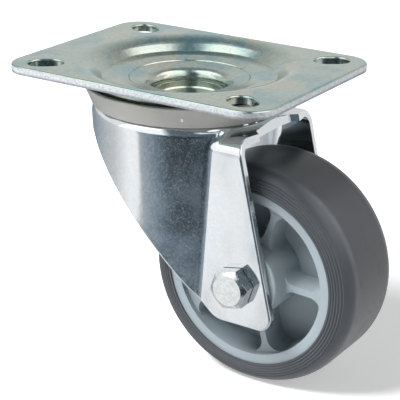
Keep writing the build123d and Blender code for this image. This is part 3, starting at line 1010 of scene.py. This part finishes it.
def wall_level(tree, azimuth, height):
    """Brightness below the horizon: the walls by azimuth, and the table far down."""
    turn = map_range(tree, azimuth, -math.pi, math.pi)
    around = add_node(tree, "ShaderNodeValToRGB", {"Fac": turn})
    stops = around.color_ramp.elements
    for angle, level in ROOM_LEVELS:
        stop = stops.new((angle + 180) / 360)
        stop.color = colour(level, level, level)
    # The ramp's own two stops, black at the start and white at the end, go.
    stops.remove(stops[-1])
    stops.remove(stops[0])
    table = smooth_step(tree, height, -0.38, -0.62, 0.0, 0.6)
    return layer(tree, around.outputs["Color"], table, TABLE_LEVEL)


def studio_world(scene):
    """White to the camera, and an even grey to matt surfaces.

    Gloss sees a room: pale walls to the left and the right, a dark front between them with
    a white table below, and two lights side by side in the ceiling. Its dark parts are
    bluish.
    """
    world = bpy.data.worlds.new("studio")
    scene.world = world
    world.use_nodes = True
    tree = world.node_tree
    tree.nodes.clear()
    direction = add_node(tree, "ShaderNodeTexCoord").outputs["Generated"]
    parts = add_node(tree, "ShaderNodeSeparateXYZ", {"Vector": direction}).outputs
    height = parts["Z"]

    def along(axis):
        """How far the direction points along an axis."""
        inputs = {0: direction, 1: axis}
        node = add_node(tree, "ShaderNodeVectorMath", inputs, operation="DOT_PRODUCT")
        return node.outputs["Value"]

    tilt = math_node(tree, "ARCTAN2", height, along(ROOM_FRONT))
    back = math_node(tree, "MULTIPLY", parts["Y"], -1.0)
    azimuth = math_node(tree, "ARCTAN2", parts["X"], back)
    above = ceiling_level(tree, tilt, along(ROOM_RIGHT))
    below = wall_level(tree, azimuth, height)
    horizon = smooth_step(tree, tilt, 1 * DEGREE, -5 * DEGREE)
    room = layer(tree, above, horizon, below)
    bright = smooth_step(tree, room, 0.1, 0.7)
    tint = mix_colours(tree, bright, colour(0.72, 0.98, 1.2), colour(1.0, 1.0, 1.0))

    white = colour(1.0, 1.0, 1.0)
    plain = add_node(tree, "ShaderNodeBackground", {"Color": white, "Strength": MATT_STRENGTH})
    seen = add_node(
        tree, "ShaderNodeBackground", {"Color": white, "Strength": BACKGROUND_STRENGTH}
    )
    mirrored = add_node(tree, "ShaderNodeBackground", {"Color": tint, "Strength": room})
    ray = add_node(tree, "ShaderNodeLightPath").outputs
    inputs = {0: ray["Is Glossy Ray"], 1: plain.outputs[0], 2: mirrored.outputs[0]}
    lit = add_node(tree, "ShaderNodeMixShader", inputs)
    through = math_node(tree, "MAXIMUM", ray["Is Camera Ray"], ray["Is Transmission Ray"])
    inputs = {0: through, 1: lit.outputs[0], 2: seen.outputs[0]}
    final = add_node(tree, "ShaderNodeMixShader", inputs)
    output = add_node(tree, "ShaderNodeOutputWorld")
    tree.links.new(final.outputs[0], output.inputs["Surface"])


def floor_material():
    """Pale floor that adds a little light of its own, which only the camera sees.

    Gloss looks through it to the room.
    """
    material, tree, shader = new_material("floor_pale")
    tree.nodes.remove(shader)
    ray = add_node(tree, "ShaderNodeLightPath").outputs
    matt = add_node(tree, "ShaderNodeBsdfDiffuse", {"Color": colour(0.8, 0.8, 0.8)})
    inputs = {"Color": colour(1.0, 1.0, 1.0), "Strength": FLOOR_GLOW}
    glow = add_node(tree, "ShaderNodeEmission", inputs)
    both = add_node(tree, "ShaderNodeAddShader", {0: matt.outputs[0], 1: glow.outputs[0]})
    inputs = {0: ray["Is Camera Ray"], 1: matt.outputs[0], 2: both.outputs[0]}
    shown = add_node(tree, "ShaderNodeMixShader", inputs)
    clear = add_node(tree, "ShaderNodeBsdfTransparent")
    inputs = {0: ray["Is Glossy Ray"], 1: shown.outputs[0], 2: clear.outputs[0]}
    final = add_node(tree, "ShaderNodeMixShader", inputs)
    tree.links.new(final.outputs[0], tree.nodes["Material Output"].inputs["Surface"])
    return material


def towards(azimuth, elevation):
    """Unit vector at an azimuth round from -Y towards +X and an elevation, in radians."""
    level = math.cos(elevation)
    return np.array([math.sin(azimuth) * level, -math.cos(azimuth) * level, math.sin(elevation)])


def area_light(name, azimuth, elevation, distance, size, power):
    """A round lamp that faces the castor from a direction in degrees, unseen by gloss."""
    data = bpy.data.lights.new(name, "AREA")
    data.shape = "DISK"
    data.size = size
    data.energy = power
    light = bpy.data.objects.new(name, data)
    bpy.context.scene.collection.objects.link(light)
    turn, rise = math.radians(azimuth), math.radians(elevation)
    light.location = np.array(LIGHT_TARGET) + towards(turn, rise) * distance
    light.rotation_euler = (math.pi / 2 - rise, 0.0, turn)
    light.visible_glossy = False


def add_camera(scene, view):
    """Camera at a direction and distance from its aim, with the frame shifted off its axis."""
    data = bpy.data.cameras.new("camera")
    data.lens = view.lens
    data.sensor_width = SENSOR_WIDTH
    data.shift_x, data.shift_y = CAMERA_SHIFT
    camera = bpy.data.objects.new("camera", data)
    scene.collection.objects.link(camera)
    camera.location = CAMERA_AIM + towards(view.azimuth, view.elevation) * view.distance
    camera.rotation_mode = "XYZ"
    camera.rotation_euler = (math.pi / 2 - view.elevation, 0.0, view.azimuth)
    camera.rotation_euler.rotate_axis("Z", view.roll)
    scene.camera = camera


class CASTOR_OT_stage(bpy.types.Operator):
    """Floor, lights, room and camera"""

    bl_idname = "castor.stage"
    bl_label = "Set the studio"

    def execute(self, context):
        scene = context.scene
        ground = float(CAD_BOX[0][2])
        corners = FLOOR_HALF_SIZE * np.array([(-1.0, -1.0), (1.0, -1.0), (1.0, 1.0), (-1.0, 1.0)])
        points = np.column_stack([corners, np.full(4, ground)])
        mesh = bpy.data.meshes.new("floor")
        mesh.from_pydata(points.tolist(), [], [(0, 1, 2, 3)])
        floor = bpy.data.objects.new("floor", mesh)
        scene.collection.objects.link(floor)
        mesh.materials.append(floor_material())
        studio_world(scene)
        area_light("key", azimuth=-35, elevation=55, distance=0.9, size=0.5, power=20.0)
        area_light("fill", azimuth=80, elevation=35, distance=1.1, size=0.7, power=1.5)
        scene.view_settings.view_transform = "Standard"
        add_camera(scene, scene.castor_view)
        return {"FINISHED"}


class CASTOR_PT_panel(bpy.types.Panel):
    """Lists the steps that finish the castor"""

    bl_label = "Swivel castor"
    bl_idname = "CASTOR_PT_panel"
    bl_space_type = "VIEW_3D"
    bl_region_type = "UI"
    bl_category = "Castor"

    def draw(self, context):
        layout = self.layout
        for operator in OPERATORS:
            layout.operator(operator.bl_idname)
        scene = context.scene
        for settings in (scene.castor_finish, scene.castor_sizes, scene.castor_view):
            for name in settings.__annotations__:
                layout.prop(settings, name)


OPERATORS = (
    CASTOR_OT_head,
    CASTOR_OT_fork,
    CASTOR_OT_seal,
    CASTOR_OT_fasteners,
    CASTOR_OT_wheel,
    CASTOR_OT_stage,
)
CLASSES = (CastorFinish, CastorSizes, CastorView) + OPERATORS + (CASTOR_PT_panel,)


def register():
    """Registers the classes and hangs the settings on the scene."""
    for item in CLASSES:
        bpy.utils.register_class(item)
    bpy.types.Scene.castor_finish = bpy.props.PointerProperty(type=CastorFinish)
    bpy.types.Scene.castor_sizes = bpy.props.PointerProperty(type=CastorSizes)
    bpy.types.Scene.castor_view = bpy.props.PointerProperty(type=CastorView)


def unregister():
    """Takes back what register did, in the opposite order."""
    del bpy.types.Scene.castor_view
    del bpy.types.Scene.castor_sizes
    del bpy.types.Scene.castor_finish
    for item in reversed(CLASSES):
        bpy.utils.unregister_class(item)


def main():
    """Runs every step."""
    register()
    bpy.ops.castor.head()
    bpy.ops.castor.fork()
    bpy.ops.castor.seal()
    bpy.ops.castor.fasteners()
    bpy.ops.castor.wheel()
    bpy.ops.castor.stage()


if __name__ == "__main__":
    main()
